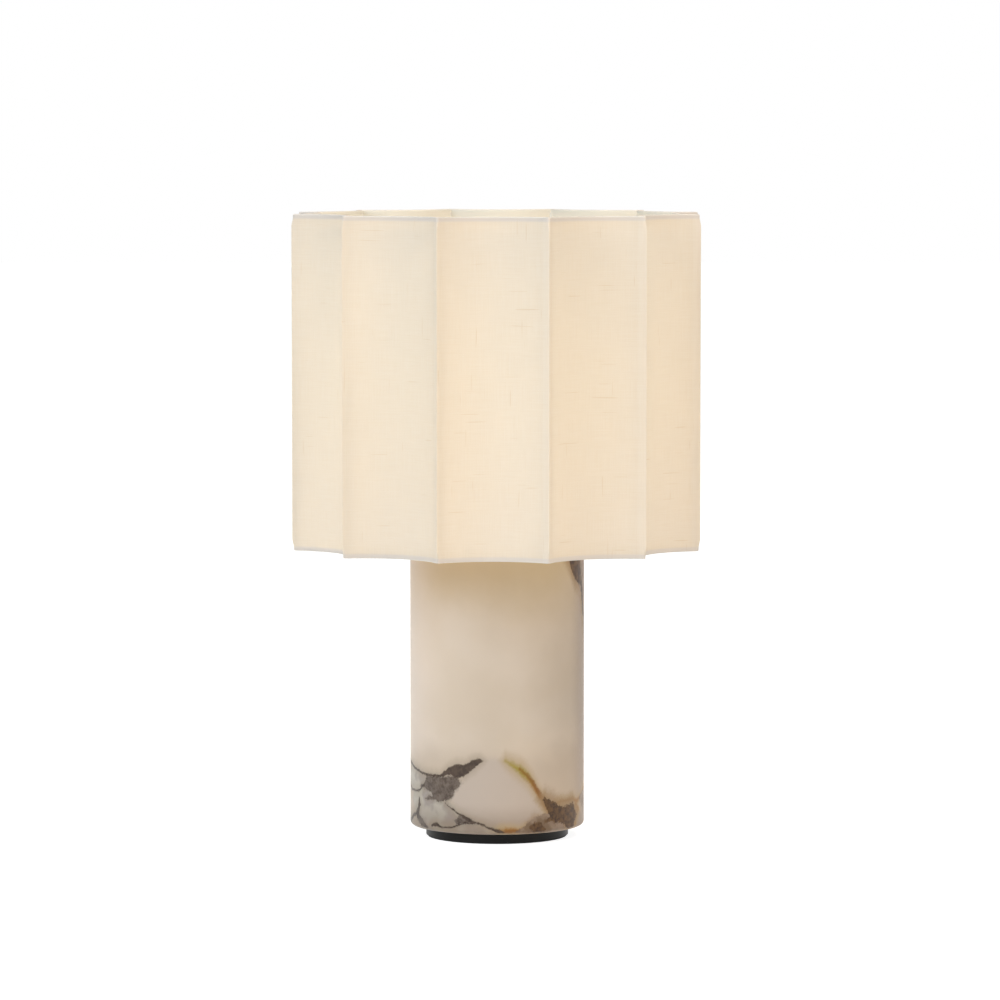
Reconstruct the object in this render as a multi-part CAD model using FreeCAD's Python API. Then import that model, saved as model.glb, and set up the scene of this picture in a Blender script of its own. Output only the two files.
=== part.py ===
import FreeCAD, Part
import math
import os

from FreeCAD import Vector

# Table lamp: a stone column on a flat foot, with a fluted linen shade over a screw lampholder.
# Millimetres, +Z up, front -Y. The origin is the middle of the foot's underside.

# Stone column
COLUMN_DIAMETER = 110.0
COLUMN_HEIGHT = 183.0
COLUMN_EDGE_RADIUS = 3.0
COLUMN_EDGE_STEPS = 2
CHAMBER_DIAMETER = 44.0
CHAMBER_DEPTH = 30.0
COLUMN_BORE_CLEARANCE = 1.0

# Foot plate and the soft pad under it
FOOT_INSET = 10.0
FOOT_THICKNESS = 6.0
PAD_INSET = 1.0
PAD_THICKNESS = 1.0

# Cord inlet at the back of the column
INLET_HEIGHT = 13.0
CORD_BORE_DIAMETER = 6.5
BUSH_WALL = 0.9
BUSH_CLEARANCE = 0.1

# Threaded tube with its two nuts and the washer on the column
TUBE_DIAMETER = 10.0
TUBE_WALL = 1.0
TUBE_SLOT_WIDTH = 5.0
TUBE_SLOT_HEIGHT = 12.0
THREAD_CLEARANCE = 0.05
NUT_ACROSS_FLATS = 17.0
NUT_THICKNESS = 4.0
WASHER_SIDE = 34.0
WASHER_THICKNESS = 2.0
WASHER_CLEARANCE = 0.3

# Lampholder
HOLDER_CAP_DIAMETER = 45.0
HOLDER_CAP_HEIGHT = 20.0
TUBE_ENGAGEMENT = 10.0
SHELL_THREAD_DIAMETER = 40.0
SHELL_RIM_GAP = 2.0
SOCKET_CLEARANCE = 0.08
BLOCK_WIDTH = 15.0
BLOCK_HEIGHT = 8.0
BLOCK_CLEARANCE = 0.5
CONTACT_THICKNESS = 0.6
CONTACT_WIDTH = 5.0
CONTACT_FOOT = 3.0
CONTACT_SLOPE = 3.0
CONTACT_RISE = 1.6
CONTACT_GAP = 0.3
CONTACT_SPACING = 2.0

# Turn switch in the side of the lampholder
KNOB_DIAMETER = 10.0
KNOB_LENGTH = 14.0
KNOB_RIB_DEPTH = 0.6
KNOB_RIBS = 10
KNOB_GAP = 0.5
SPINDLE_DIAMETER = 4.0
SPINDLE_DEPTH = 12.0
SPINDLE_CLEARANCE = 0.08
SWITCH_HEIGHT = 7.5

# Bulb
BULB_CAP_DIAMETER = 26.4
BULB_CAP_HEIGHT = 20.0
BULB_TIP_DIAMETER = 9.0
BULB_TIP_HEIGHT = 3.5
GLASS_DIAMETER = 30.0
GLASS_HEIGHT = 84.0
GLASS_EDGE = 4.0

# Shade: concave flutes between sharp ridges
SHADE_HEIGHT = 210.5
SHADE_OVERLAP = 6.5
RIDGE_DIAMETER = 264.4
FLUTE_COUNT = 12
FLUTE_DEPTH = 14.7
SHADE_TURN = -1.1
LINEN_THICKNESS = 0.8
RING_HEIGHT = 2.2
RING_WIDTH = 3.0
RING_BLUNTING = 1.5
RIB_THICKNESS = 1.2
RIB_DEPTH = 4.0
RIB_CLEARANCE = 0.1

# Spider that carries the shade, and the ring nut that clamps it
FITTER_DIAMETER = 58.0
FITTER_THICKNESS = 1.5
FITTER_CLEARANCE = 0.4
CLAMP_GAP = 0.2
ARM_COUNT = 4
ARM_WIDTH = 4.0
ARM_THICKNESS = 2.0
ARM_TAB = 5.0
RING_NUT_DIAMETER = 54.0
RING_NUT_HEIGHT = 7.0
RING_NUT_RIBS = 16
RING_NUT_RIB_DEPTH = 1.2
RING_NUT_CLEARANCE = 0.06

# Radii
column_radius = COLUMN_DIAMETER / 2
foot_radius = column_radius - FOOT_INSET
chamber_radius = CHAMBER_DIAMETER / 2
tube_radius = TUBE_DIAMETER / 2
bush_radius = CORD_BORE_DIAMETER / 2 + BUSH_WALL
shell_radius = SHELL_THREAD_DIAMETER / 2
bulb_cap_radius = BULB_CAP_DIAMETER / 2
bulb_tip_radius = BULB_TIP_DIAMETER / 2
socket_radius = bulb_cap_radius + SOCKET_CLEARANCE
fitter_radius = FITTER_DIAMETER / 2

# Heights, from the table up
foot_top = PAD_THICKNESS + FOOT_THICKNESS
inlet_z = foot_top + INLET_HEIGHT
column_top = foot_top + COLUMN_HEIGHT
washer_top = column_top + WASHER_THICKNESS
holder_bottom = washer_top + NUT_THICKNESS
holder_cap_top = holder_bottom + HOLDER_CAP_HEIGHT
switch_z = holder_bottom + SWITCH_HEIGHT
tube_top = holder_bottom + TUBE_ENGAGEMENT
block_top = holder_cap_top + BLOCK_HEIGHT
centre_contact_top = block_top + CONTACT_RISE + CONTACT_THICKNESS
bulb_tip_z = centre_contact_top + CONTACT_GAP
bulb_cap_z = bulb_tip_z + BULB_TIP_HEIGHT
side_contact_top = bulb_cap_z - CONTACT_GAP
glass_z = bulb_cap_z + BULB_CAP_HEIGHT
shell_top = glass_z - SHELL_RIM_GAP
fitter_bottom = holder_cap_top + CLAMP_GAP
fitter_top = fitter_bottom + FITTER_THICKNESS
ring_nut_bottom = fitter_top + CLAMP_GAP
shade_bottom = column_top - SHADE_OVERLAP
shade_top = shade_bottom + SHADE_HEIGHT
linen_bottom = shade_bottom + RING_HEIGHT
linen_top = shade_top - RING_HEIGHT

# Flute geometry: each flute is an arc about a centre outside the shade
half_flute = math.pi / FLUTE_COUNT
half_chord = RIDGE_DIAMETER / 2 * math.sin(half_flute)
flute_radius = (half_chord ** 2 + FLUTE_DEPTH ** 2) / (2 * FLUTE_DEPTH)
valley_radius = RIDGE_DIAMETER / 2 * math.cos(half_flute) - FLUTE_DEPTH
flute_centre = valley_radius + flute_radius

UP = Vector(0, 0, 1)
RIGHT = Vector(1, 0, 0)
BACK = Vector(0, 1, 0)


def polar(radius, angle, z=0.0):
    """The point at this radius and angle round the lamp's axis."""
    return Vector(radius * math.cos(angle), radius * math.sin(angle), z)


def cylinder(radius, bottom, top):
    return Part.makeCylinder(radius, top - bottom, Vector(0, 0, bottom))


def tube(outer_radius, inner_radius, bottom, top):
    return cylinder(outer_radius, bottom, top).cut(cylinder(inner_radius, bottom, top))


def prism(points, direction):
    """A solid made by pushing the closed outline along a direction."""
    outline = Part.makePolygon(points + [points[0]])
    return Part.Face(outline).extrude(direction)


def turned(profile):
    """A solid turned about the lamp's axis from an outline of (radius, height) points."""
    points = [Vector(radius, 0, height) for radius, height in profile]
    outline = Part.makePolygon(points + [points[0]])
    return Part.Face(outline).revolve(Vector(0, 0, 0), UP, 360)


def bent_strip(path, thickness, width):
    """A flat strip that follows (x, z) points along its underside, centred on the XZ plane."""
    under = [Vector(x, -width / 2, z) for x, z in path]
    over = [Vector(x, -width / 2, z + thickness) for x, z in reversed(path)]
    return prism(under + over, BACK * width)


def ribbed_outline(radius, rib_depth, ribs):
    """Points round a ribbed grip, outer and inner corners in turn."""
    step = math.pi / ribs
    radii = (radius, radius - rib_depth)
    return [polar(radii[i % 2], i * step) for i in range(2 * ribs)]


def turned_about_axis(shape, angle_degrees):
    copy = shape.copy()
    copy.rotate(Vector(0, 0, 0), UP, angle_degrees)
    return copy


def ridge_distance(offset, side_step=0.0):
    """How far from the axis a flute's surface is at a ridge, moved inwards by an offset.

    side_step is the distance to the side of the ridge's own radial plane.
    """
    along = flute_centre * math.cos(half_flute)
    across = flute_centre * math.sin(half_flute) - side_step
    radius = flute_radius + offset
    return along - math.sqrt(radius ** 2 - across ** 2)


def flute_arc(flute, offset, z):
    """The arc of one flute's surface, from ridge to ridge. The first flute faces right."""
    middle = 2 * flute * half_flute
    start = polar(ridge_distance(offset), middle - half_flute, z)
    valley = polar(valley_radius - offset, middle, z)
    end = polar(ridge_distance(offset), middle + half_flute, z)
    return Part.Arc(start, valley, end).toShape()


def flute_band(inner_offset, outer_offset, bottom, top):
    """A closed band that follows all the flutes."""
    loops = []
    for offset in (outer_offset, inner_offset):
        arcs = [flute_arc(flute, offset, bottom) for flute in range(FLUTE_COUNT)]
        loops.append(Part.Face(Part.Wire(arcs)).extrude(UP * (top - bottom)))
    return loops[0].cut(loops[1])


def at_ridges(shape, count):
    """Copies of a piece that is built facing right, spread evenly over the ridges."""
    ridges_apart = FLUTE_COUNT // count
    pitch = 2 * half_flute * ridges_apart
    angles = [half_flute + i * pitch for i in range(count)]
    return [turned_about_axis(shape, math.degrees(angle)) for angle in angles]


def on_shade(shape):
    """Turns a piece of the shade so that its first flute faces the front, plus the shade's own turn."""
    return turned_about_axis(shape, SHADE_TURN - 90)


# Base


def stone_column():
    step = math.radians(90) / COLUMN_EDGE_STEPS
    edge_centre = column_radius - COLUMN_EDGE_RADIUS
    profile = [(0, foot_top)]
    for i in range(COLUMN_EDGE_STEPS + 1):
        out = COLUMN_EDGE_RADIUS * math.sin(i * step)
        drop = COLUMN_EDGE_RADIUS * (1 - math.cos(i * step))
        profile.append((edge_centre + out, foot_top + drop))
    profile += [(column_radius, column_top), (0, column_top)]
    stone = turned(profile)
    stone = stone.cut(cylinder(chamber_radius, foot_top, foot_top + CHAMBER_DEPTH))
    stone = stone.cut(cylinder(tube_radius + COLUMN_BORE_CLEARANCE, foot_top, column_top))
    hole_radius = bush_radius + BUSH_CLEARANCE
    hole = Part.makeCylinder(hole_radius, column_radius, Vector(0, 0, inlet_z), BACK)
    return stone.cut(hole)


def foot_plate():
    return tube(foot_radius, tube_radius + THREAD_CLEARANCE, PAD_THICKNESS, foot_top)


def foot_pad():
    return cylinder(foot_radius - PAD_INSET, 0, PAD_THICKNESS)


def threaded_tube():
    pipe = tube(tube_radius, tube_radius - TUBE_WALL, PAD_THICKNESS, tube_top)
    corner = Vector(-TUBE_SLOT_WIDTH / 2, 0, inlet_z - TUBE_SLOT_HEIGHT / 2)
    slot = Part.makeBox(TUBE_SLOT_WIDTH, TUBE_DIAMETER, TUBE_SLOT_HEIGHT, corner)
    return pipe.cut(slot)


def hex_nut(bottom):
    corner_radius = NUT_ACROSS_FLATS / 2 / math.cos(math.radians(30))
    corners = [polar(corner_radius, math.radians(60 * i), bottom) for i in range(6)]
    nut = prism(corners, UP * NUT_THICKNESS)
    return nut.cut(cylinder(tube_radius + THREAD_CLEARANCE, bottom, bottom + NUT_THICKNESS))


def tube_nuts():
    return Part.makeCompound([hex_nut(foot_top), hex_nut(washer_top)])


def top_washer():
    corner = Vector(-WASHER_SIDE / 2, -WASHER_SIDE / 2, column_top)
    plate = Part.makeBox(WASHER_SIDE, WASHER_SIDE, WASHER_THICKNESS, corner)
    return plate.cut(cylinder(tube_radius + WASHER_CLEARANCE, column_top, washer_top))


def cord_bush():
    inner_end = math.sqrt(chamber_radius ** 2 - bush_radius ** 2)
    outer_end = math.sqrt(column_radius ** 2 - bush_radius ** 2)
    start = Vector(0, inner_end, inlet_z)
    body = Part.makeCylinder(bush_radius, outer_end - inner_end, start, BACK)
    bore = Part.makeCylinder(CORD_BORE_DIAMETER / 2, outer_end - inner_end, start, BACK)
    return body.cut(bore)


# Lampholder


def holder_cap():
    body = cylinder(HOLDER_CAP_DIAMETER / 2, holder_bottom, holder_cap_top)
    body = body.cut(cylinder(tube_radius + THREAD_CLEARANCE, holder_bottom, holder_cap_top))
    hole_radius = SPINDLE_DIAMETER / 2 + SPINDLE_CLEARANCE
    start = HOLDER_CAP_DIAMETER / 2 - SPINDLE_DEPTH - SPINDLE_CLEARANCE
    hole = Part.makeCylinder(hole_radius, HOLDER_CAP_DIAMETER, Vector(start, 0, switch_z), RIGHT)
    return body.cut(hole)


def holder_shell():
    return tube(shell_radius, socket_radius, holder_cap_top, shell_top)


def contact_block():
    half_diagonal = socket_radius - BLOCK_CLEARANCE
    half_length = math.sqrt(half_diagonal ** 2 - (BLOCK_WIDTH / 2) ** 2)
    corner = Vector(-half_length, -BLOCK_WIDTH / 2, holder_cap_top)
    return Part.makeBox(2 * half_length, BLOCK_WIDTH, BLOCK_HEIGHT, corner)


def centre_contact():
    bend = -bulb_tip_radius
    raised = block_top + CONTACT_RISE
    path = [(bend - CONTACT_FOOT, block_top), (bend, block_top)]
    path += [(bend + CONTACT_SLOPE, raised), (bulb_tip_radius, raised)]
    return bent_strip(path, CONTACT_THICKNESS, CONTACT_WIDTH)


def side_contact():
    start = bulb_tip_radius + CONTACT_SPACING
    raised = side_contact_top - CONTACT_THICKNESS
    bend = start + CONTACT_FOOT / 2
    end = socket_radius - CONTACT_SPACING
    path = [(start, block_top), (bend, block_top), ((bend + end) / 2, raised), (end, raised)]
    return bent_strip(path, CONTACT_THICKNESS, CONTACT_WIDTH)


# Turn switch


def along_switch_axis(shape):
    """Lays a piece built upwards from the origin along the switch's axis, to the right."""
    laid = shape.copy()
    laid.rotate(Vector(0, 0, 0), BACK, 90)
    laid.translate(Vector(0, 0, switch_z))
    return laid


def switch_knob():
    start = HOLDER_CAP_DIAMETER / 2 + KNOB_GAP
    grip = prism(ribbed_outline(KNOB_DIAMETER / 2, KNOB_RIB_DEPTH, KNOB_RIBS), UP * KNOB_LENGTH)
    grip.translate(UP * start)
    return along_switch_axis(grip)


def switch_spindle():
    end = HOLDER_CAP_DIAMETER / 2 + KNOB_GAP
    start = HOLDER_CAP_DIAMETER / 2 - SPINDLE_DEPTH
    return along_switch_axis(cylinder(SPINDLE_DIAMETER / 2, start, end))


# Bulb


def bulb_glass():
    radius = GLASS_DIAMETER / 2
    top = glass_z + GLASS_HEIGHT
    side = [(radius, glass_z), (radius, top - GLASS_EDGE), (radius - GLASS_EDGE, top)]
    return turned([(0, glass_z)] + side + [(0, top)])


def bulb_cap():
    return cylinder(bulb_cap_radius, bulb_cap_z, glass_z)


def bulb_tip():
    return cylinder(bulb_tip_radius, bulb_tip_z, bulb_cap_z)


# Shade


def linen_panel(flute):
    outer = flute_arc(flute, 0.0, linen_bottom)
    inner = flute_arc(flute, LINEN_THICKNESS, linen_bottom)
    ends = [Part.makeLine(outer.Vertexes[i].Point, inner.Vertexes[i].Point) for i in (0, 1)]
    outline = Part.Wire(Part.__sortEdges__([outer, ends[0], inner, ends[1]]))
    return Part.Face(outline).extrude(UP * (linen_top - linen_bottom))


def linen_panels():
    return on_shade(Part.makeCompound([linen_panel(flute) for flute in range(FLUTE_COUNT)]))


def shade_rings():
    """The two rings in the linen's hems, flush with the flutes and blunt at the ridges."""
    lower = flute_band(RING_WIDTH, 0.0, shade_bottom, linen_bottom)
    upper = flute_band(RING_WIDTH, 0.0, linen_top, shade_top)
    corner_radius = (RIDGE_DIAMETER / 2 - RING_BLUNTING) / math.cos(half_flute)
    corners = [polar(corner_radius, 2 * i * half_flute, shade_bottom) for i in range(FLUTE_COUNT)]
    blunt = prism(corners, UP * SHADE_HEIGHT)
    return on_shade(Part.makeCompound([lower.common(blunt), upper.common(blunt)]))


def rib_edge():
    """How far out a rib reaches into the corner behind a ridge."""
    return ridge_distance(LINEN_THICKNESS, RIB_THICKNESS / 2 + RIB_CLEARANCE)


def rib_strips():
    corner = Vector(rib_edge() - RIB_DEPTH, -RIB_THICKNESS / 2, linen_bottom)
    rib = Part.makeBox(RIB_DEPTH, RIB_THICKNESS, linen_top - linen_bottom, corner)
    return on_shade(Part.makeCompound(at_ridges(rib, FLUTE_COUNT)))


def spider_arm():
    """An arm from under the fitter ring down to the foot of a rib."""
    inner_end = fitter_radius - ARM_TAB
    outer_end = rib_edge() - RIB_DEPTH
    tab_z = fitter_bottom - ARM_THICKNESS
    path = [(inner_end, tab_z), (fitter_radius, tab_z)]
    path += [(outer_end - ARM_TAB, linen_bottom), (outer_end, linen_bottom)]
    return bent_strip(path, ARM_THICKNESS, ARM_WIDTH)


def shade_spider():
    fitter = tube(fitter_radius, shell_radius + FITTER_CLEARANCE, fitter_bottom, fitter_top)
    return on_shade(Part.makeCompound([fitter] + at_ridges(spider_arm(), ARM_COUNT)))


def shade_ring_nut():
    outline = ribbed_outline(RING_NUT_DIAMETER / 2, RING_NUT_RIB_DEPTH, RING_NUT_RIBS)
    grip = prism(outline, UP * RING_NUT_HEIGHT)
    grip.translate(UP * ring_nut_bottom)
    bore_radius = shell_radius + RING_NUT_CLEARANCE
    return grip.cut(cylinder(bore_radius, ring_nut_bottom, ring_nut_bottom + RING_NUT_HEIGHT))


PARTS = [
    stone_column,
    foot_plate,
    foot_pad,
    threaded_tube,
    tube_nuts,
    top_washer,
    cord_bush,
    holder_cap,
    holder_shell,
    contact_block,
    centre_contact,
    side_contact,
    switch_knob,
    switch_spindle,
    bulb_glass,
    bulb_cap,
    bulb_tip,
    linen_panels,
    shade_rings,
    rib_strips,
    shade_spider,
    shade_ring_nut,
]


def main():
    os.makedirs("parts", exist_ok=True)
    for build in PARTS:
        shape = build()
        name = build.__name__
        solids = len(shape.Solids)
        print(f"{name}: {solids} solid(s), {shape.Volume:.0f} mm3, valid {shape.isValid()}")
        shape.exportStep(os.path.join("parts", name + ".step"))


main()
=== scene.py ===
import math

import bpy
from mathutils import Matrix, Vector


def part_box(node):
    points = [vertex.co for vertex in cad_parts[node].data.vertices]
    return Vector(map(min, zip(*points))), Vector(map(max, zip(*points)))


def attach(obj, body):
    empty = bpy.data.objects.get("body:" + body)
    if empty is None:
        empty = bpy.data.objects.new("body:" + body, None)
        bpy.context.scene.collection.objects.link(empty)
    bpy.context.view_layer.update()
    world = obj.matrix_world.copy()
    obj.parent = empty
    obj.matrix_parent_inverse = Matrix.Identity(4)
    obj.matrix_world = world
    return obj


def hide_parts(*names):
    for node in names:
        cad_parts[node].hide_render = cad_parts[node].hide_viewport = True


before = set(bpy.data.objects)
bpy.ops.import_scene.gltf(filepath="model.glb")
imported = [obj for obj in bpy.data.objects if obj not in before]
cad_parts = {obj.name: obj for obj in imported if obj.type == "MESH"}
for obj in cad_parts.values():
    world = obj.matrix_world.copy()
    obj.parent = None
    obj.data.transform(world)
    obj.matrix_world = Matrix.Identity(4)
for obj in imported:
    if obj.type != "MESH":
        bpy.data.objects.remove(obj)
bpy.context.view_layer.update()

# A column table lamp, in metres, in the frame's own axes: +Z up, front -Y. The materials count in
# millimetres, and so do the stone's markings.
MILLIMETRES = 1000.0

# Shade: concave flutes between sharp ridges
FLUTE_COUNT = 12
RIDGE_RADIUS = 0.1322
FLUTE_DEPTH = 0.0147
SHADE_TURN = math.radians(-1.1)
RING_WIDTH = 0.003
RING_HEIGHT = 0.0022

# Linen: its way round the rings, its folds at the ridges and its slack between them
WRAP_GAP = 0.0001
WRAP_ROUNDING = 0.0007
WRAP_STEPS = 4
TURN_IN = 0.006
RING_BLUNTING = 0.0013
FOLD_BLUNTING = 0.0002
LEAST_BLUNTING = 0.05
FOLD_SOFTNESS = 0.00015
FOLD_FADE = 0.005
GORE_STEPS = 28
GORE_ROWS = 44
SLACK = 0.00022
RIPPLE_ALONG = 5.0
RIPPLE_ACROSS = 2.3
RIPPLE_SHIFT = 1.7
CLOTH_SHIFT = 0.01

# Stone column
STONE_EDGE = 0.003
STONE_TOP_EDGE = 0.0006
BORE_RADIUS = 0.006
CHAMBER_RADIUS = 0.022
CHAMBER_DEPTH = 0.030
INLET_HEIGHT = 0.013
INLET_RADIUS = 0.00425
STONE_SEGMENTS = 192
EDGE_STEPS = 8
HOLE_SEGMENTS = 48
SHARP_ANGLE = math.radians(35)

# Bulb
BULB_SEGMENTS = 64
GLASS_INSET = 0.0002
DOME_SHARE = 0.8
DOME_STEPS = 16
POLE_RADIUS = 0.0002
BULB_GLOW = 2.0
GLOW_SPREAD = (0.97, 1.03)
WARM_LIGHT = (1.0, 0.9, 0.5, 1.0)

# The middle of a noise's values, and the ends that nearly all of them lie between
NOISE_MIDDLE = 0.5
NOISE_ENDS = (0.3, 0.7)

# Stone's look, in millimetres: what the curves of its markings call 1 for a height and for half a
# height, how far the markings are shaken off their lines, and how far its clouds shift the levels
# where the ground changes
STONE_SCALE = 200.0
PATCH_SCALE = 20.0
MARKING_SHAKE = 2.4
CLOUD_SHIFT = 30.0

# Linen's look: threads and slubs to a millimetre, across them and along them, how far the threads
# move on from gore to gore, how strong a slub's colour is, and how much light comes through
THREADS_ACROSS = 1.7
THREADS_ALONG = 0.05
SLUBS_ACROSS = 0.8
SLUBS_ALONG = 0.03
THREAD_SHIFT = 7.0
SLUB_TINT = 0.3
LIGHT_THROUGH = 0.36

# Where threads and slubs show, as the start and the end of a rise in their noise
THREAD_RISE = (0.6, 1.4)
UPRIGHT_SLUB_RISE = (0.73, 0.77)
LEVEL_SLUB_RISE = (0.72, 0.76)

# The linen's strips, each as the start and the end of a rise, in millimetres outwards: the painted
# ridge light's from a gore's right-hand ridge, the others' from the shade's upper or lower edge
PAINTED_RIDGE_LIGHT_RISE = (-6.5, -4.5)
# The hem strip: the doubled hem, with a painted shadow of the ring behind it
HEM_AND_PAINTED_SHADE_RISE = (-3.5, -2.0)
# Painted shade over the top of the upper ring
PAINTED_TOP_EDGE_SHADE_RISE = (-0.6, 0.2)
TURNED_IN_RISE = (2.2, 3.4)

# The ends of the stone's roughness, the reliefs' depths in metres, and what a slub adds to the
# height of the threads
STONE_ROUGHNESS = (0.36, 0.44)
STONE_RELIEF = 0.00002
LINEN_RELIEF = 0.0001
SLUB_HEIGHT = 0.8

# Look of the plain parts: specks to a millimetre, their depth, and how far the roughness strays
COAT_GRAIN = 0.8
COAT_RELIEF = 0.000003
COAT_SPREAD = 0.04

# Camera, from the photograph's perspective
CAMERA_PLACE = (0.0018, -3.406, 0.4655)
CAMERA_PITCH = math.radians(4.241)
FOCAL_LENGTH = 194.6
SENSOR_WIDTH = 36.0
FAR_CLIP = 100.0

# Studio: the floor takes the shadow, and what the camera sees of it is lifted to white
FLOOR_RADIUS = 12.0
FLOOR_GREY = (0.8, 0.8, 0.8, 1.0)
SEEN_GREY = (0.5, 0.5, 0.5, 1.0)
FLOOR_LIFT = 0.9
WHITE = (1.0, 1.0, 1.0, 1.0)
WORLD_LEVEL = 0.27
WORLD_TINT = (0.9, 1.0, 1.0, 1.0)
AIM = Vector((0.0, 0.0, 0.2))
KEY_PLACE = (-2.4, -2.2, 1.9)
KEY_SIZE = 2.2
KEY_POWER = 68.0
KEY_TINT = (0.88, 0.945, 1.0)
FILL_PLACE = (0.95, -0.855, 3.35)
FILL_SIZE = 1.2
FILL_POWER = 123.0
FILL_TINT = (1.0, 0.845, 0.70)

HALF_FLUTE = math.pi / FLUTE_COUNT
HALF_CHORD = RIDGE_RADIUS * math.sin(HALF_FLUTE)
FLUTE_RADIUS = (HALF_CHORD ** 2 + FLUTE_DEPTH ** 2) / (2 * FLUTE_DEPTH)
FLUTE_CENTRE = RIDGE_RADIUS * math.cos(HALF_FLUTE) - FLUTE_DEPTH + FLUTE_RADIUS

shade_low, shade_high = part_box("shade_rings")
stone_low, stone_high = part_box("stone_column")
SHADE_BOTTOM, SHADE_TOP = shade_low[2], shade_high[2]
STONE_BOTTOM, STONE_TOP = stone_low[2], stone_high[2]
STONE_RADIUS = stone_high[0]


# Geometry


def new_object(name, points, faces, material, body):
    """A smooth mesh object that rides on a body and takes its finish from a slot."""
    mesh = bpy.data.meshes.new(name)
    mesh.from_pydata([tuple(point) for point in points], [], faces)
    mesh.polygons.foreach_set("use_smooth", [True] * len(mesh.polygons))
    mesh.materials.append(material)
    mesh.update()
    piece = bpy.data.objects.new(name, mesh)
    bpy.context.scene.collection.objects.link(piece)
    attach(piece, body)
    return piece


def grid_faces(columns, rows, closed_columns=False, closed_rows=False):
    """Quads over points laid out row by row."""
    faces = []
    for row in range(rows if closed_rows else rows - 1):
        for column in range(columns if closed_columns else columns - 1):
            right = (column + 1) % columns
            above = (row + 1) % rows
            faces.append((
                row * columns + column, row * columns + right,
                above * columns + right, above * columns + column,
            ))
    return faces


def turned_points(profile, segments):
    """Points of a turned surface, one ring for each (radius, height)."""
    points = []
    for radius, height in profile:
        for i in range(segments):
            angle = 2 * math.pi * i / segments
            points.append((radius * math.cos(angle), radius * math.sin(angle), height))
    return points


def end_faces(points, segments):
    """The flat faces that close the first and the last ring of turned points."""
    last = len(points) - segments
    return [tuple(range(segments - 1, -1, -1)), tuple(range(last, len(points)))]


def rounded_corner(radius, height, size, start_angle, steps=EDGE_STEPS):
    """Profile points round a quarter circle about (radius, height), counter-clockwise."""
    points = []
    for i in range(steps + 1):
        angle = start_angle + math.pi / 2 * i / steps
        points.append((radius + size * math.cos(angle), height + size * math.sin(angle)))
    return points


def path_length(points):
    """The length of a line from point to point."""
    return sum(math.dist(first, second) for first, second in zip(points, points[1:]))


def smooth_step(value):
    """0 below 0, 1 above 1 and smooth between them."""
    value = min(max(value, 0.0), 1.0)
    return value * value * (3 - 2 * value)


def flute_end(offset):
    """Half the angle of a flute's arc, moved inwards by an offset, as it meets the ridges."""
    reach = FLUTE_CENTRE * math.sin(HALF_FLUTE) / (FLUTE_RADIUS + offset)
    return math.asin(reach) - HALF_FLUTE


def ridge_reach(offset):
    """How far from the axis the ridges of a flute moved inwards are."""
    end = flute_end(offset)
    radius = FLUTE_RADIUS + offset
    return math.hypot(FLUTE_CENTRE - radius * math.cos(end), radius * math.sin(end))


def flute_point(flute, part, offset, height, blunting):
    """A point on a flute, part from -1 at one ridge to 1 at the next, with blunted ridges."""
    middle = 2 * flute * HALF_FLUTE + SHADE_TURN - math.pi / 2
    radius = FLUTE_RADIUS + offset
    turn = part * flute_end(offset)
    x = FLUTE_CENTRE * math.cos(middle) - radius * math.cos(middle - turn)
    y = FLUTE_CENTRE * math.sin(middle) - radius * math.sin(middle - turn)
    reach = math.hypot(x, y)
    furthest = ridge_reach(offset) - blunting
    kept = furthest - FOLD_SOFTNESS * math.log1p(math.exp((furthest - reach) / FOLD_SOFTNESS))
    share = kept / reach
    return Vector((x * share, y * share, height))


def gore_width():
    """How wide a flute's cloth is when it lies flat."""
    return 2 * FLUTE_RADIUS * flute_end(0.0)


def wrap_profile():
    """The linen's way from inside the lower ring, down round it, up the shade and in over the top.

    Its points are (distance inwards from the flute's face, height).
    """
    low, high = SHADE_BOTTOM - WRAP_GAP, SHADE_TOP + WRAP_GAP
    outer, inner = -WRAP_GAP, RING_WIDTH + WRAP_GAP
    size = WRAP_ROUNDING

    def corner(offset, height, start_angle):
        return reversed(rounded_corner(offset, height, size, start_angle, WRAP_STEPS))

    path = [(inner, low + TURN_IN), (inner, low + TURN_IN / 2)]
    path += corner(inner - size, low + size, -math.pi / 2)
    path += corner(outer + size, low + size, math.pi)
    for row in range(1, GORE_ROWS):
        part = 0.5 - 0.5 * math.cos(math.pi * row / GORE_ROWS)
        path.append((outer, low + size + (high - low - 2 * size) * part))
    path += corner(outer + size, high - size, math.pi / 2)
    path += corner(inner - size, high - size, 0.0)
    path += [(inner, high - TURN_IN / 2), (inner, high - TURN_IN)]
    return path


def cloth_attribute(piece, values):
    """Cloth coordinates in metres: across, along, and a step for each gore."""
    layer = piece.data.attributes.new("cloth", "FLOAT_VECTOR", "POINT")
    layer.data.foreach_set("vector", [number for value in values for number in value])


# Materials


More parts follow.
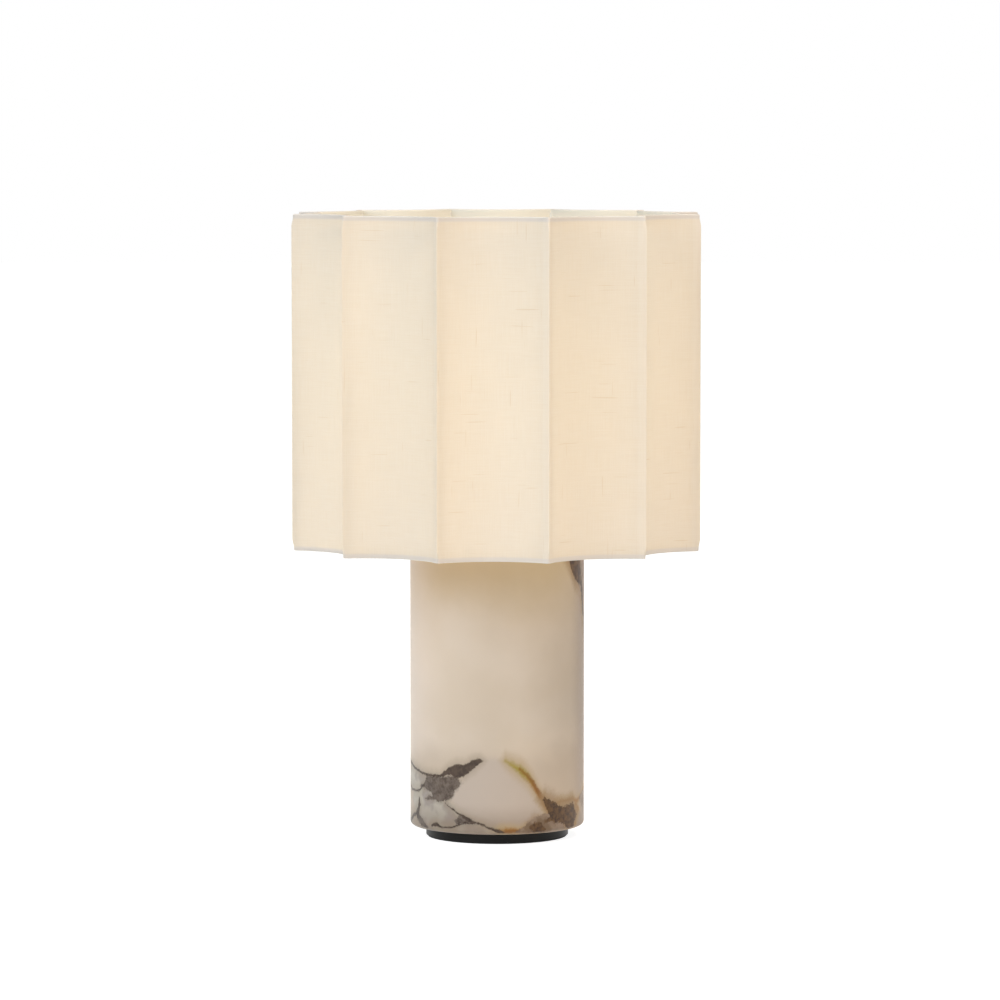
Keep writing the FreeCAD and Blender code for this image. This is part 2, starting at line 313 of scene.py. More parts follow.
class Graph:
    """A material's nodes, added by short calls."""

    def __init__(self, name):
        self.material = bpy.data.materials.new(name)
        self.material.use_nodes = True
        self.tree = self.material.node_tree
        self.tree.nodes.clear()

    def outputs(self, kind, inputs, **settings):
        """The outputs of a new node. An input is a value or another node's output."""
        node = self.tree.nodes.new(kind)
        for name, value in settings.items():
            setattr(node, name, value)
        for name, value in inputs.items():
            if isinstance(value, bpy.types.NodeSocket):
                self.tree.links.new(value, node.inputs[name])
            else:
                node.inputs[name].default_value = value
        return node.outputs

    def add(self, kind, inputs, output=0, **settings):
        """One output of a new node."""
        return self.outputs(kind, inputs, **settings)[output]

    def math(self, operation, *values, clamp=False):
        inputs = dict(enumerate(values))
        return self.add("ShaderNodeMath", inputs, operation=operation, use_clamp=clamp)

    def vector(self, operation, *values):
        return self.add("ShaderNodeVectorMath", dict(enumerate(values)), operation=operation)

    def scaled(self, vector, factor):
        return self.add("ShaderNodeVectorMath", {0: vector, "Scale": factor}, operation="SCALE")

    def parts(self, vector):
        """A vector's x, y and z."""
        return list(self.outputs("ShaderNodeSeparateXYZ", {0: vector}))

    def noise(self, vector, scale, detail, roughness=0.5, output=0):
        inputs = {"Vector": vector, "Scale": scale, "Detail": detail, "Roughness": roughness}
        return self.add("ShaderNodeTexNoise", inputs, output)

    def ramp(self, value, low, high, to_low=0.0, to_high=1.0):
        """The value's way from low to high, smoothed and clamped."""
        inputs = {"Value": value, 1: low, 2: high, 3: to_low, 4: to_high}
        return self.add("ShaderNodeMapRange", inputs, interpolation_type="SMOOTHSTEP")

    def band(self, value, ends, strength=1.0):
        """Strong between the middle two of four ends, and fading to the outer two."""
        rise_start, rise_end, fall_start, fall_end = ends
        rise = self.ramp(value, rise_start, rise_end, 0.0, strength)
        return self.math("MULTIPLY", rise, self.ramp(value, fall_start, fall_end, 1.0, 0.0))

    def mix(self, factor, first, second):
        inputs = {0: factor, 6: first, 7: second}
        return self.add("ShaderNodeMix", inputs, 2, data_type="RGBA")

    def tones(self, value, low, high, pair):
        """A pair of colours, the first where the value is low and the second where it is high."""
        return self.mix(self.ramp(value, low, high), *pair)

    def curve(self, position, points):
        """A smooth curve through (position, value) points, which all lie from 0 to 1."""
        node = self.tree.nodes.new("ShaderNodeFloatCurve")
        self.tree.links.new(position, node.inputs["Value"])
        line = node.mapping.curves[0]
        line.points[0].location = points[0]
        line.points[1].location = points[-1]
        for place in points[1:-1]:
            line.points.new(*place)
        for point in line.points:
            point.handle_type = "AUTO_CLAMPED"
        node.mapping.update()
        return node.outputs[0]

    def bump(self, height, distance, strength=1.0):
        inputs = {"Height": height, "Distance": distance, "Strength": strength}
        return self.add("ShaderNodeBump", inputs)

    def place(self):
        """The object's own coordinates, in millimetres."""
        return self.scaled(self.add("ShaderNodeTexCoord", {}, 3), MILLIMETRES)

    def principled(self, **inputs):
        named = {name.replace("_", " "): value for name, value in inputs.items()}
        return self.add("ShaderNodeBsdfPrincipled", named)

    def surface(self, shader):
        """The finished material."""
        output = self.tree.nodes.new("ShaderNodeOutputMaterial")
        self.tree.links.new(shader, output.inputs["Surface"])
        return self.material


def colour(red, green, blue):
    """An RGB colour of 0 to 255 as the screen shows it, for a shader's socket."""
    def linear(value):
        value /= 255
        return value / 12.92 if value <= 0.04045 else ((value + 0.055) / 1.055) ** 2.4
    return (linear(red), linear(green), linear(blue), 1.0)


def curve_points(points, scale):
    """Points for a curve: shares of the way across, and values as parts of a scale."""
    start, end = points[0][0], points[-1][0]
    return [((across - start) / (end - start), value / scale) for across, value in points]


def patch_distance(graph, across, level, patches):
    """How far a place on the column is outside the nearest patch, and below nought inside one.

    A patch is a list of (across, bottom, top) points from left to right, in millimetres. level is
    the place's height as a part of STONE_SCALE.
    """
    nearest = None
    for patch in patches:
        start, end = patch[0][0], patch[-1][0]
        width = end - start
        middles = [(place, (bottom + top) / 2) for place, bottom, top in patch]
        halves = [(place, (top - bottom) / 2) for place, bottom, top in patch]
        inside = graph.add("ShaderNodeClamp", {"Value": across, "Min": start, "Max": end})
        part = graph.math("MULTIPLY_ADD", inside, 1 / width, -start / width)
        middle = graph.curve(part, curve_points(middles, STONE_SCALE))
        half = graph.curve(part, curve_points(halves, PATCH_SCALE))
        away = graph.math("ABSOLUTE", graph.math("SUBTRACT", level, middle))
        half = graph.math("MULTIPLY", half, -1.0)
        away = graph.math("MULTIPLY_ADD", away, STONE_SCALE / PATCH_SCALE, half)
        beyond = graph.math("ABSOLUTE", graph.math("SUBTRACT", across, inside))
        evenness = width / path_length(middles)
        away = graph.math("MULTIPLY_ADD", away, PATCH_SCALE * evenness, beyond)
        nearest = graph.math("MINIMUM", nearest, away) if nearest else away
    return nearest


def vein(*points):
    """A patch made from a vein's (across, height, half width) points."""
    length = path_length([point[:2] for point in points])
    steepness = length / (points[-1][0] - points[0][0])
    return [
        (across, height - half * steepness, height + half * steepness)
        for across, height, half in points
    ]


# The column's markings, in millimetres across from the front and up. Half the way round is 173
# across, to the left and to the right.
GREY_VEINS = [
    [(-42, 41.4, 42.6), (-38, 42, 44), (-34, 43.4, 46.9), (-30, 43.8, 49.4), (-26, 42.6, 51),
     (-20, 44.6, 51.4), (-17, 46.8, 53.2), (-13.5, 49.6, 54.5), (-10.5, 52.4, 54.6),
     (-9.5, 53.2, 54)],
    vein((-98, 60, 0.5), (-84, 50, 0.9), (-68, 45.5, 0.7), (-58, 43.4, 0.6), (-50, 42.4, 0.7),
         (-40, 42.4, 0.8)),
    vein((-91, 52, 0.4), (-83, 36, 0.7), (-70, 31, 0.5), (-61, 31.5, 0.5), (-54, 36, 0.5)),
    [(-65, 15.5, 18), (-62.5, 13, 20.5), (-60.6, 18, 27.5), (-59.4, 21, 24)],
    vein((-84, 7, 0.8), (-75, 12, 1.2), (-69, 15, 1.0), (-65, 16.5, 0.6)),
    vein((-35, 26, 0.2), (-30, 22.8, 0.3), (-24, 19.4, 0.7), (-18.5, 16.4, 1.3),
         (-13.5, 14.8, 0.5), (-8, 13, 0.5), (-4, 11.2, 0.5), (0, 9.6, 1.3), (4, 8.8, 0.6)),
    vein((-46, 11, 0.8), (-42, 11.8, 1.2), (-37, 10.6, 0.4), (-28, 11.4, 0.4), (-23, 13.6, 0.5),
         (-15, 14.6, 0.5)),
    vein((-152, 20, 1.2), (-140, 33, 0.8), (-128, 36, 2.2), (-112, 46, 0.8), (-97, 44, 1.6),
         (-84, 50, 0.8)),
    vein((-173, 94, 0.5), (-160, 92, 0.4), (-148, 66, 0.9), (-134, 52, 0.6), (-128, 36, 0.8)),
    vein((73, 160, 0.8), (79, 138, 1.6), (88, 118, 0.8), (104, 103, 1.4), (112, 84, 0.6),
         (131, 70, 0.9), (150, 40, 1.4), (160, 30, 0.5)),
    vein((104, 103, 0.9), (121, 112, 0.7), (143, 108, 1.2), (160, 98, 0.8), (173, 94, 0.5)),
]
MOTTLED_PATCHES = [
    [(-58, 34, 35), (-54, 33.4, 37), (-51, 33, 41.5), (-47, 32, 42), (-44.5, 28.4, 42.4),
     (-41, 26.4, 42), (-36, 27.4, 42.4), (-31, 28.6, 43), (-29, 31, 43), (-26.5, 35.5, 43),
     (-25, 36.5, 41.5), (-24.2, 38.5, 40)],
    [(-52.5, 26.8, 27.4), (-49, 26.8, 29.6), (-44, 27, 30)],
    [(-64, 14.5, 17.5), (-61, 11.5, 16.5), (-58, 9.5, 15), (-55, 9, 13), (-51, 8.5, 10)],
    [(-26, 13.2, 17.6), (-22, 13.4, 18.4), (-18, 13.8, 16.8), (-14, 14, 15)],
    [(-112, 38, 41), (-104, 39, 46), (-98, 41, 45)],
    [(-150, 15, 20), (-143, 17, 29), (-134, 24, 34), (-127, 29, 33)],
    [(134, 56, 60), (142, 46, 60), (150, 36, 50), (154, 38, 42)],
]
PINK_CELLS = [
    [(-30, 27, 33), (-22, 20, 44), (-8, 14, 54), (4, 13, 55), (16, 13, 46), (25, 18, 36),
     (31, 22, 26)],
    [(-126, 54, 64), (-112, 52, 72), (-99, 60, 68)],
]
GREY_CELLS = [
    [(-64, 17, 34), (-59, 14, 42), (-54, 9, 42), (-42, 8, 30), (-32, 8, 26), (-24, 8, 20),
     (-14, 8, 14), (-7, 8.5, 11)],
    [(-84, 36, 42), (-72, 32, 45), (-60, 30, 44)],
    [(-152, 22, 30), (-138, 36, 44), (-124, 42, 48)],
]
DUN_PATCHES = [
    [(12, 8, 9), (17, 7.5, 12.5), (22, 7.5, 16.5), (27, 7.5, 18.6), (32, 7.5, 19.6),
     (37, 7.5, 18), (43, 7.5, 15), (48, 7.5, 10)],
    [(66, 160, 180), (72, 155, 180), (80, 150, 174), (86, 148, 164)],
    [(69, 23, 28), (78, 17, 30), (88, 15, 25), (98, 16, 20)],
]
BROWN_PATCHES = [
    [(71, 156, 163), (74, 143, 160), (77, 140, 146)],
    [(31.5, 26, 30), (34, 20.5, 28.6), (36, 16.5, 28), (39, 13.5, 26.5), (42, 13, 24.2),
     (46, 12, 23.2), (52, 8, 23.4), (57, 8, 24), (59.5, 12, 20)],
    [(22, 9.5, 13), (25, 7.8, 14.4), (28.5, 7.8, 13.8), (31, 8.4, 11.5)],
    [(31, 14, 15), (35, 14, 17), (38, 14.5, 17.5)],
    [(54, 175, 177.5), (56.5, 170, 179), (60, 165, 180), (64, 163, 180), (68, 161.5, 176),
     (71, 160, 166)],
    [(82, 21, 23), (90, 21, 30), (98, 20, 33), (105, 25, 35), (114, 29, 33), (121, 31, 32)],
]
GOLD_VEINS = [
    vein((5, 54, 0.3), (11, 50, 1.1), (17, 45.8, 1.9), (21.5, 40.5, 1.8), (26, 33.5, 1.7),
         (30, 27.5, 1.5), (34.5, 20.5, 1.2)),
    vein((41, 25.8, 0.6), (50, 26.2, 0.8), (58, 26, 1.4), (63, 24.5, 1.4), (70, 27, 0.8),
         (84, 33, 1.4), (97, 28, 0.6)),
    [(58.5, 12, 20), (60.5, 9, 25), (63, 14, 24)],
    vein((1, 10.4, 0.5), (8, 10, 1.3), (13, 9.6, 1.0), (17.5, 11, 0.5)),
]
RUST_VEINS = [
    vein((14, 48.6, 0.2), (20.5, 42.8, 0.6), (24, 38, 0.9), (27.5, 32.2, 1.0), (31.5, 27, 1.5),
         (34, 24, 1.2)),
    vein((4, 9.2, 0.6), (10, 9.2, 0.9), (15, 8.8, 0.6)),
]

# Where the column's ground changes: millimetres across as the start and end of a rise, and the
# start and end of a fall
# Painted light: the left-hand side is paler, where the key lamp falls
PAINTED_LIGHT_SIDE_ENDS = (-150.0, -95.0, -70.0, -25.0)
# Where the painted warm shadow turns to its darker tone, towards the right
PAINTED_WARM_SHADOW_SIDE_ENDS = (-20.0, 20.0, 95.0, 140.0)
MIDDLE_ENDS = (-60.0, -14.0, -10.0, 20.0)
# Painted shade on the right-hand side, away from the key lamp
PAINTED_SHADE_SIDE_ENDS = (30.0, 75.0, 95.0, 140.0)
# Painted shade along the column's right-hand flank
PAINTED_EDGE_SHADE_ENDS = (52.0, 76.0, 80.0, 130.0)

# Millimetres up as the start and the end of a change
# Painted shadow of the lampshade, with its warm glow, at the top of the column
PAINTED_WARM_SHADOW_LEVELS = (150.0, 195.0)
LOWER_GROUND_LEVELS = (62.0, 82.0)
GOLD_LEVELS = (36.0, 46.0)
FOOT_LEVELS = (11.0, 28.0)

# The stone's colours, from the ground up. A pair is two tones of the same layer.
GROUND = colour(222, 207, 191), colour(218, 202, 184)
# Painted light on the left-hand side, where the key lamp falls
PAINTED_LIGHT_SIDE = colour(225, 210, 199)
# Painted shadow of the lampshade, with its warm glow, in two tones
PAINTED_WARM_SHADOW = colour(208, 187, 155), colour(199, 180, 149)
MIDDLE = colour(150, 138, 124)
LOWER_GROUND = colour(199, 183, 166)
# Painted shade on the right-hand side, away from the key lamp
PAINTED_SHADE_SIDE = colour(184, 166, 146)
# Painted shade along the column's right-hand flank
PAINTED_EDGE_SHADE = colour(148, 126, 112)
PINK = colour(194, 180, 169)
CLOUD = colour(158, 149, 145), colour(190, 184, 174)
FOOT = colour(146, 126, 110)
GREY_HALO = colour(150, 134, 112)
GOLD_HALO = colour(180, 156, 118)
GOLD = colour(156, 112, 52), colour(158, 141, 52)
RUST = colour(132, 84, 34)
BROWN_HALO = colour(156, 128, 94)
DUN = colour(116, 94, 74), colour(148, 128, 112)
BROWN = colour(54, 32, 14), colour(104, 74, 42)
MOTTLED_HALO = colour(146, 134, 122)
MOTTLED = colour(72, 59, 52), colour(112, 99, 90)
GREY = colour(48, 32, 24), colour(76, 60, 50)

# The linen's colours: as it looks, and as light comes through it
CLOTH = colour(243, 233, 221), colour(246, 238, 228)
SLUB = colour(226, 204, 172)
# Painted highlight on the strip beside each ridge that faces the key lamp
PAINTED_RIDGE_LIGHT = colour(254, 250, 246)
# The hem's colour, greyed by a painted shadow of the ring behind it
HEM_PAINTED_SHADE = colour(233, 230, 233)
# Painted shade over the top of the upper ring, where the lamps from above would light it
PAINTED_TOP_EDGE_SHADE = colour(218, 212, 208)
TURNED_IN = colour(250, 250, 245)
CLOTH_THROUGH = colour(248, 237, 214), colour(252, 242, 222)
SLUB_THROUGH = colour(214, 184, 140)
HEM_THROUGH = colour(234, 229, 222)

OPAL = colour(246, 242, 232)


def stone_material():
    graph = Graph("stone")
    surface = graph.place()
    shake = graph.noise(surface, scale=0.2, detail=4.0, roughness=0.65, output=1)
    shake = graph.vector("SUBTRACT", shake, (NOISE_MIDDLE, NOISE_MIDDLE, NOISE_MIDDLE))
    place = graph.vector("ADD", surface, graph.scaled(shake, MARKING_SHAKE))
    ragged = graph.noise(place, scale=0.7, detail=4.0, roughness=0.75)
    ragged = graph.math("SUBTRACT", ragged, NOISE_MIDDLE)

    x, y, z = graph.parts(place)
    turn = graph.math("ARCTAN2", x, graph.math("MULTIPLY", y, -1.0))
    across = graph.math("MULTIPLY", turn, STONE_RADIUS * MILLIMETRES)
    level = graph.math("DIVIDE", z, STONE_SCALE)

    def distance(patches, raggedness):
        """Millimetres outside the nearest patch, as its ragged edge goes."""
        away = patch_distance(graph, across, level, patches)
        return graph.math("MULTIPLY_ADD", ragged, raggedness, away)

    grey = distance(GREY_VEINS, 2.4)
    mottled = distance(MOTTLED_PATCHES, 5.0)
    pink = distance(PINK_CELLS, 3.0)
    clouded = distance(GREY_CELLS, 5.0)
    dun = distance(DUN_PATCHES, 4.0)
    brown = distance(BROWN_PATCHES, 5.0)
    gold = distance(GOLD_VEINS, 2.4)
    rust = distance(RUST_VEINS, 1.6)

    speckle = graph.noise(place, scale=0.3, detail=5.0, roughness=0.7)
    mottling = graph.tones(speckle, 0.36, 0.64, MOTTLED)
    browns = graph.tones(speckle, 0.36, 0.64, BROWN)
    greys = graph.tones(speckle, 0.34, 0.62, GREY)
    clouds = graph.tones(graph.noise(surface, scale=0.09, detail=2.0), 0.4, 0.6, CLOUD)
    duns = graph.tones(graph.noise(surface, scale=0.12, detail=3.0), 0.4, 0.6, DUN)
    golds = graph.tones(z, *GOLD_LEVELS, GOLD)

    cloudy = graph.noise(surface, scale=0.022, detail=3.0)
    drift = graph.math("MULTIPLY_ADD", cloudy, CLOUD_SHIFT, z)
    # Painted light: the stone is paler on its lit left-hand side
    painted_light_side = graph.band(across, PAINTED_LIGHT_SIDE_ENDS)
    # Painted shadow of the lampshade, warm from its glow: at the top, weaker on the lit side,
    # darker to the right
    less_on_painted_light_side = graph.ramp(painted_light_side, 0.0, 1.0, 1.0, 0.25)
    painted_warm_shadow = graph.math("MULTIPLY", graph.ramp(drift, *PAINTED_WARM_SHADOW_LEVELS), less_on_painted_light_side)
    painted_warm_shadow_tones = graph.mix(graph.band(across, PAINTED_WARM_SHADOW_SIDE_ENDS), *PAINTED_WARM_SHADOW)

    shades = graph.tones(cloudy, 0.35, 0.65, GROUND)
    shades = graph.mix(graph.math("MULTIPLY", painted_light_side, 0.5), shades, PAINTED_LIGHT_SIDE)
    shades = graph.mix(painted_warm_shadow, shades, painted_warm_shadow_tones)
    shades = graph.mix(graph.band(across, MIDDLE_ENDS, 0.15), shades, MIDDLE)
    low_down = graph.ramp(drift, *LOWER_GROUND_LEVELS, 0.85, 0.0)
    shades = graph.mix(low_down, shades, LOWER_GROUND)
    # Painted shade: the right-hand side darker, away from the key lamp
    shades = graph.mix(graph.band(across, PAINTED_SHADE_SIDE_ENDS, 0.5), shades, PAINTED_SHADE_SIDE)
    # Painted shade along the column's right-hand flank
    shades = graph.mix(graph.band(across, PAINTED_EDGE_SHADE_ENDS, 0.65), shades, PAINTED_EDGE_SHADE)
    # Each layer is at its strength up to the first of two distances, or of two heights for the
    # foot, and gone at the second
    for value, near, far, strength, tint in (
        (pink, -3.0, 3.0, 0.85, PINK),
        (clouded, -2.0, 3.0, 0.85, clouds),
        (z, *FOOT_LEVELS, 0.6, FOOT),
        (grey, 0.0, 6.0, 0.4, GREY_HALO),
        (gold, 0.0, 6.0, 0.65, GOLD_HALO),
        (gold, -1.5, 1.5, 0.9, golds),
        (rust, -0.5, 1.2, 0.75, RUST),
        (brown, 0.0, 9.0, 0.8, BROWN_HALO),
        (dun, -0.6, 0.6, 0.9, duns),
        (brown, -0.6, 0.6, 0.95, browns),
        (mottled, 0.0, 3.0, 0.5, MOTTLED_HALO),
        (mottled, -0.6, 0.6, 0.95, mottling),
        (grey, -0.5, 0.6, 0.95, greys),
    ):
        shades = graph.mix(graph.ramp(value, near, far, strength, 0.0), shades, tint)

    polish = graph.noise(surface, scale=0.4, detail=3.0)
    roughness = graph.ramp(polish, *NOISE_ENDS, *STONE_ROUGHNESS)
    relief = graph.bump(graph.noise(surface, scale=2.0, detail=2.0), STONE_RELIEF)
    return graph.surface(graph.principled(
        Base_Color=shades, Roughness=roughness, Specular_IOR_Level=0.3, Normal=relief
    ))


def linen_material():
    graph = Graph("linen")
    cloth = graph.add("ShaderNodeAttribute", {}, 1, attribute_name="cloth")
    cloth = graph.scaled(cloth, MILLIMETRES)

    def threads(across, along, detail):
        """A noise drawn out into upright threads, and one drawn out into level threads."""
        return [
            graph.noise(graph.vector("MULTIPLY", cloth, stretch), 1.0, detail, roughness=0.6)
            for stretch in ((across, along, THREAD_SHIFT), (along, across, THREAD_SHIFT))
        ]

    weave = graph.math("ADD", *threads(THREADS_ACROSS, THREADS_ALONG, 2.0))
    thread = graph.ramp(weave, *THREAD_RISE)
    upright, level = threads(SLUBS_ACROSS, SLUBS_ALONG, 1.0)
    upright_slubs = graph.ramp(upright, *UPRIGHT_SLUB_RISE)
    slubs = graph.math("MAXIMUM", upright_slubs, graph.ramp(level, *LEVEL_SLUB_RISE))
    slub_tint = graph.math("MULTIPLY", slubs, SLUB_TINT)

    across, along, _ = graph.parts(cloth)
    above = graph.math("SUBTRACT", along, MILLIMETRES * path_length(wrap_profile()) / 2)
    from_middle = graph.math("ABSOLUTE", above)
    side = MILLIMETRES * gore_width() / 2
    edge = MILLIMETRES * (SHADE_TOP - SHADE_BOTTOM) / 2

    def strip(value, border, rise, strength=1.0):
        """Rises to a strength near a border of the cloth and stays at it further out."""
        start, end = rise
        return graph.ramp(value, border + start, border + end, 0.0, strength)

    # Painted highlight beside each gore's right-hand ridge, where the key lamp falls
    painted_ridge_light = strip(across, side, PAINTED_RIDGE_LIGHT_RISE, 0.25)
    # The doubled hem along both edges, with the ring's shadow painted into its colour
    hem_and_painted_shade = strip(from_middle, edge, HEM_AND_PAINTED_SHADE_RISE, 0.55)
    # Painted shade over the top of the upper ring
    painted_top_edge_shade = strip(above, edge, PAINTED_TOP_EDGE_SHADE_RISE, 0.8)
    turned_in = strip(from_middle, edge, TURNED_IN_RISE)

    body = graph.mix(thread, *CLOTH)
    body = graph.mix(slub_tint, body, SLUB)
    body = graph.mix(painted_ridge_light, body, PAINTED_RIDGE_LIGHT)
    body = graph.mix(hem_and_painted_shade, body, HEM_PAINTED_SHADE)
    body = graph.mix(painted_top_edge_shade, body, PAINTED_TOP_EDGE_SHADE)
    body = graph.mix(turned_in, body, TURNED_IN)
    through = graph.mix(thread, *CLOTH_THROUGH)
    through = graph.mix(slub_tint, through, SLUB_THROUGH)
    through = graph.mix(hem_and_painted_shade, through, HEM_THROUGH)

    fabric = graph.math("MULTIPLY_ADD", slubs, SLUB_HEIGHT, weave)
    relief = graph.bump(fabric, LINEN_RELIEF, strength=0.5)
    front = graph.principled(
        Base_Color=body, Roughness=0.85, Specular_IOR_Level=0.2, Normal=relief
    )
    light = graph.add("ShaderNodeBsdfTranslucent", {"Color": through, "Normal": relief})
    return graph.surface(
        graph.add("ShaderNodeMixShader", {"Fac": LIGHT_THROUGH, 1: front, 2: light})
    )


def painted_material(name, dark, pale, roughness, metallic=0.0, specular=0.5):
    """A coat, metal or moulding with a faint grain. dark and pale are the ends of its colour."""
    graph = Graph(name)
    fine = graph.noise(graph.place(), COAT_GRAIN, detail=3.0, roughness=0.6)
    shades = graph.tones(fine, *NOISE_ENDS, ((*dark, 1.0), (*pale, 1.0)))
    gloss = graph.ramp(fine, *NOISE_ENDS, roughness - COAT_SPREAD, roughness + COAT_SPREAD)
    return graph.surface(graph.principled(
        Base_Color=shades, Roughness=gloss, Metallic=metallic, Specular_IOR_Level=specular,
        Normal=graph.bump(fine, COAT_RELIEF),
    ))


def bulb_material():
    graph = Graph("opal_glass")
    soft = graph.noise(graph.place(), scale=0.05, detail=1.0)
    strength = graph.math("MULTIPLY", graph.ramp(soft, *NOISE_ENDS, *GLOW_SPREAD), BULB_GLOW)
    glow = graph.add("ShaderNodeEmission", {"Color": WARM_LIGHT, "Strength": strength})
    glass = graph.principled(Base_Color=OPAL, Roughness=0.25)
    return graph.surface(graph.add("ShaderNodeAddShader", {0: glow, 1: glass}))


def paint_node(node, material):
    """Gives a CAD node its material."""
    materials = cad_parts[node].data.materials
    materials.clear()
    materials.append(material)


# Pieces


def cut_hole_at_back(piece, radius, height):
    """Cuts a level round hole from the lamp's axis out through the back of a piece."""
    points = turned_points([(radius, 0.0), (radius, 2 * STONE_RADIUS)], HOLE_SEGMENTS)
    faces = grid_faces(HOLE_SEGMENTS, 2, closed_columns=True)
    faces += end_faces(points, HOLE_SEGMENTS)
    mesh = bpy.data.meshes.new("drill")
    mesh.from_pydata([(x, z, height - y) for x, y, z in points], [], faces)
    drill = bpy.data.objects.new("drill", mesh)
    bpy.context.scene.collection.objects.link(drill)
    cut = piece.modifiers.new("hole", "BOOLEAN")
    cut.operation = "DIFFERENCE"
    cut.solver = "EXACT"
    cut.object = drill
    depsgraph = bpy.context.evaluated_depsgraph_get()
    drilled = bpy.data.meshes.new_from_object(piece.evaluated_get(depsgraph))
    piece.modifiers.remove(cut)
    piece.data = drilled
    bpy.data.objects.remove(drill)
    drilled.set_sharp_from_angle(angle=SHARP_ANGLE)


def stone_column(material):
    """The veined cylinder, with its bore, the chamber under it and the hole for the cord."""
    low, high = STONE_BOTTOM, STONE_TOP
    edge = STONE_RADIUS - STONE_EDGE
    top_edge = STONE_RADIUS - STONE_TOP_EDGE
    profile = [(CHAMBER_RADIUS, low)]
    profile += rounded_corner(edge, low + STONE_EDGE, STONE_EDGE, -math.pi / 2)
    profile += rounded_corner(top_edge, high - STONE_TOP_EDGE, STONE_TOP_EDGE, 0.0)
    profile += [(BORE_RADIUS, high), (BORE_RADIUS, low + CHAMBER_DEPTH)]
    profile += [(CHAMBER_RADIUS, low + CHAMBER_DEPTH)]
    points = turned_points(profile, STONE_SEGMENTS)
    faces = grid_faces(STONE_SEGMENTS, len(profile), closed_columns=True, closed_rows=True)
    piece = new_object("stone", points, faces, material, "base")
    cut_hole_at_back(piece, INLET_RADIUS, low + INLET_HEIGHT)
    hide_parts("stone_column")


def gore(flute, material):
    """One cut piece of linen, from ridge to ridge, turned in round both rings."""
    points, cloth = [], []
    path = wrap_profile()
    width = gore_width()
    along = 0.0
    for row, (offset, height) in enumerate(path):
        if row:
            along += math.dist(path[row - 1], path[row])
        to_edge = min(height - SHADE_BOTTOM, SHADE_TOP - height)
        fade = smooth_step((to_edge - RING_HEIGHT) / FOLD_FADE)
        outer_share = max(1.0 - max(offset, 0.0) / RING_WIDTH, LEAST_BLUNTING)
        blunting = (RING_BLUNTING + (FOLD_BLUNTING - RING_BLUNTING) * fade) * outer_share
        rise = (height - SHADE_BOTTOM) / (SHADE_TOP - SHADE_BOTTOM)
        looseness = SLACK * math.sin(math.pi * min(max(rise, 0.0), 1.0))
        for step in range(GORE_STEPS + 1):
            part = -math.cos(math.pi * step / GORE_STEPS)
            ripple = math.sin(RIPPLE_ALONG * rise + RIPPLE_SHIFT * flute)
            ripple *= math.cos(RIPPLE_ACROSS * part + flute)
            slack = looseness * math.cos(math.pi / 2 * part) * ripple
            points.append(flute_point(flute, part, offset + slack, height, blunting))
            cloth.append((part * width / 2, along, flute * CLOTH_SHIFT))
    faces = grid_faces(GORE_STEPS + 1, len(path))
    piece = new_object(f"gore_{flute + 1:02d}", points, faces, material, "shade")
    cloth_attribute(piece, cloth)
    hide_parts("linen_panels")


def bulb(material):
    """The opal glass: a straight tube with a domed end."""
    low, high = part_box("bulb_glass")
    radius = high[0] - GLASS_INSET
    dome = radius * DOME_SHARE
    profile = [(radius, low[2])]
    for step in range(DOME_STEPS + 1):
        angle = math.pi / 2 * step / DOME_STEPS
        ring = max(radius * math.cos(angle), POLE_RADIUS)
        profile.append((ring, high[2] - dome + dome * math.sin(angle)))
    points = turned_points(profile, BULB_SEGMENTS)
    faces = grid_faces(BULB_SEGMENTS, len(profile), closed_columns=True)
    faces += end_faces(points, BULB_SEGMENTS)
    piece = new_object("opal_bulb", points, faces, material, "bulb")
    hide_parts("bulb_glass")


# Studio


def studio_floor():
    graph = Graph("floor")
    rays = graph.outputs("ShaderNodeLightPath", {})
    seen = graph.math("ADD", rays["Is Camera Ray"], rays["Is Glossy Ray"])
    seen = graph.math("ADD", seen, rays["Is Transmission Ray"], clamp=True)
    shaded = graph.add("ShaderNodeBsdfDiffuse", {"Color": FLOOR_GREY})
    pale = graph.add("ShaderNodeBsdfDiffuse", {"Color": SEEN_GREY})
    lift = graph.add("ShaderNodeEmission", {"Color": WHITE, "Strength": FLOOR_LIFT})
    white = graph.add("ShaderNodeAddShader", {0: pale, 1: lift})
    shader = graph.add("ShaderNodeMixShader", {"Fac": seen, 1: shaded, 2: white})
    mesh = bpy.data.meshes.new("floor")
    corners = [(-1, -1), (1, -1), (1, 1), (-1, 1)]
    mesh.from_pydata(
        [(FLOOR_RADIUS * x, FLOOR_RADIUS * y, 0) for x, y in corners], [], [(0, 1, 2, 3)]
    )
    mesh.materials.append(graph.surface(shader))
    floor = bpy.data.objects.new("floor", mesh)
    bpy.context.scene.collection.objects.link(floor)


def studio_world():
    """Soft light all round, which the camera sees as white."""
    world = bpy.data.worlds.new("studio")
    world.use_nodes = True
    nodes, links = world.node_tree.nodes, world.node_tree.links
    nodes.clear()
    rays = nodes.new("ShaderNodeLightPath")
    mix = nodes.new("ShaderNodeMixShader")
    output = nodes.new("ShaderNodeOutputWorld")
    links.new(rays.outputs["Is Camera Ray"], mix.inputs["Fac"])
    for index, tint, strength in ((1, WORLD_TINT, WORLD_LEVEL), (2, WHITE, 1.0)):
        light = nodes.new("ShaderNodeBackground")
        light.inputs["Color"].default_value = tint
        light.inputs["Strength"].default_value = strength
        links.new(light.outputs[0], mix.inputs[index])
    links.new(mix.outputs[0], output.inputs["Surface"])
    bpy.context.scene.world = world


def area_lamp(name, place, size, power, tint):
    """A soft square lamp aimed at the middle of the table lamp."""
    data = bpy.data.lights.new(name, "AREA")
    data.shape = "SQUARE"
    data.size = size
    data.energy = power
    data.color = tint
    lamp = bpy.data.objects.new(name, data)
    lamp.location = place
    lamp.rotation_euler = (AIM - Vector(place)).to_track_quat("-Z", "Y").to_euler()
    bpy.context.scene.collection.objects.link(lamp)


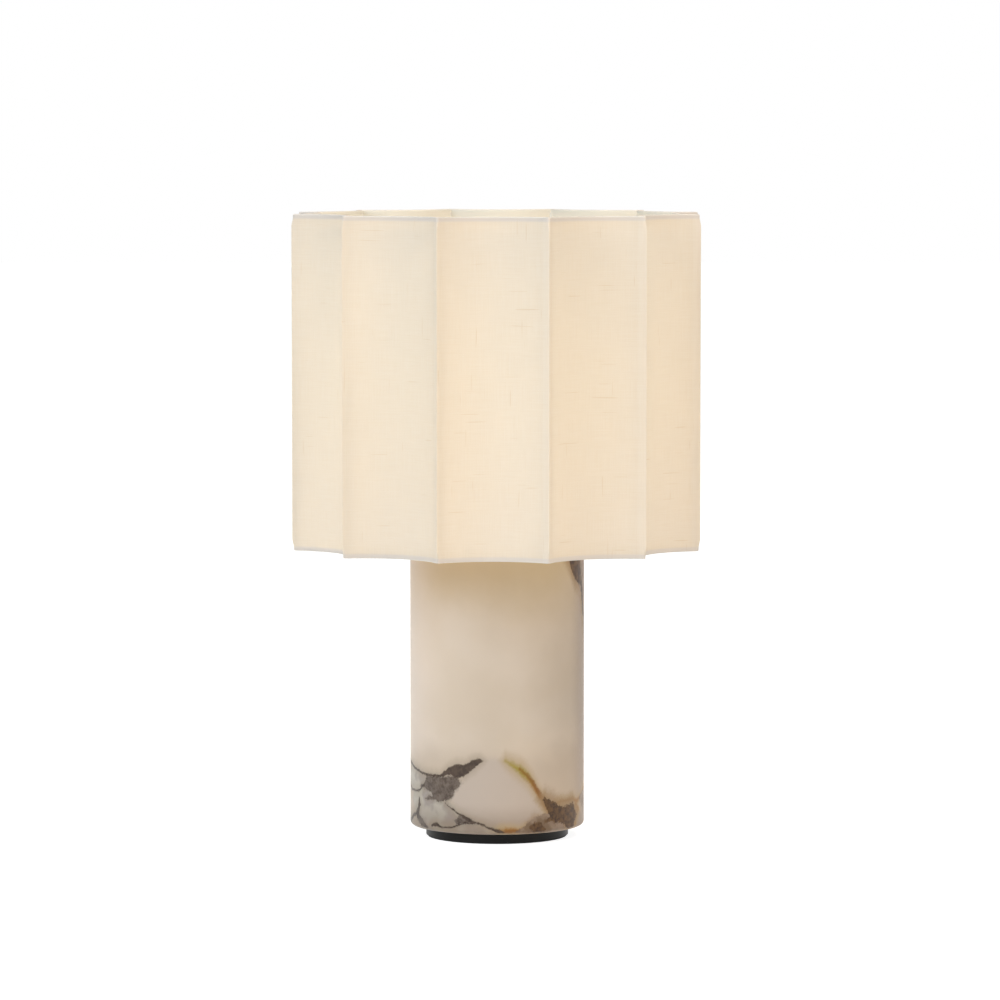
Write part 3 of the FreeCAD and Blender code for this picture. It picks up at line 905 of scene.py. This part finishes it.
def studio_camera():
    data = bpy.data.cameras.new("camera")
    data.lens = FOCAL_LENGTH
    data.sensor_fit = "HORIZONTAL"
    data.sensor_width = SENSOR_WIDTH
    data.clip_end = FAR_CLIP
    camera = bpy.data.objects.new("camera", data)
    camera.location = CAMERA_PLACE
    camera.rotation_euler = (math.pi / 2 - CAMERA_PITCH, 0.0, 0.0)
    bpy.context.scene.collection.objects.link(camera)
    bpy.context.scene.camera = camera


black_metal = painted_material(
    "black_metal", (0.004, 0.0035, 0.003), (0.008, 0.007, 0.006), 0.42, specular=0.2
)
rubber = painted_material("rubber", (0.012, 0.012, 0.012), (0.02, 0.02, 0.02), 0.8)
brass = painted_material("brass", (0.62, 0.44, 0.18), (0.70, 0.52, 0.24), 0.35, metallic=1.0)
zinc = painted_material("zinc", (0.52, 0.52, 0.52), (0.60, 0.60, 0.60), 0.35, metallic=1.0)
aluminium = painted_material(
    "aluminium", (0.72, 0.72, 0.71), (0.80, 0.80, 0.79), 0.28, metallic=1.0
)
dark_plastic = painted_material("dark_plastic", (0.012, 0.012, 0.012), (0.02, 0.02, 0.02), 0.35)
pale_plastic = painted_material("pale_plastic", (0.74, 0.72, 0.68), (0.80, 0.78, 0.74), 0.3)
ceramic = painted_material("ceramic", (0.74, 0.73, 0.70), (0.82, 0.81, 0.78), 0.6)
white_metal = painted_material("white_metal", (0.78, 0.77, 0.74), (0.84, 0.83, 0.80), 0.4)

node_materials = {
    "foot_plate": black_metal,
    "foot_pad": rubber,
    "threaded_tube": brass,
    "tube_nuts": brass,
    "top_washer": zinc,
    "cord_bush": dark_plastic,
    "holder_cap": pale_plastic,
    "holder_shell": pale_plastic,
    "contact_block": ceramic,
    "centre_contact": brass,
    "side_contact": brass,
    "switch_knob": dark_plastic,
    "switch_spindle": brass,
    "bulb_cap": aluminium,
    "bulb_tip": brass,
    "shade_rings": white_metal,
    "rib_strips": white_metal,
    "shade_spider": white_metal,
    "shade_ring_nut": pale_plastic,
}
for node, material in node_materials.items():
    paint_node(node, material)

stone_column(stone_material())
linen = linen_material()
for flute in range(FLUTE_COUNT):
    gore(flute, linen)
bulb(bulb_material())

studio_floor()
studio_world()
area_lamp("key", KEY_PLACE, KEY_SIZE, KEY_POWER, KEY_TINT)
area_lamp("fill", FILL_PLACE, FILL_SIZE, FILL_POWER, FILL_TINT)
studio_camera()
bpy.context.scene.view_settings.view_transform = "Standard"
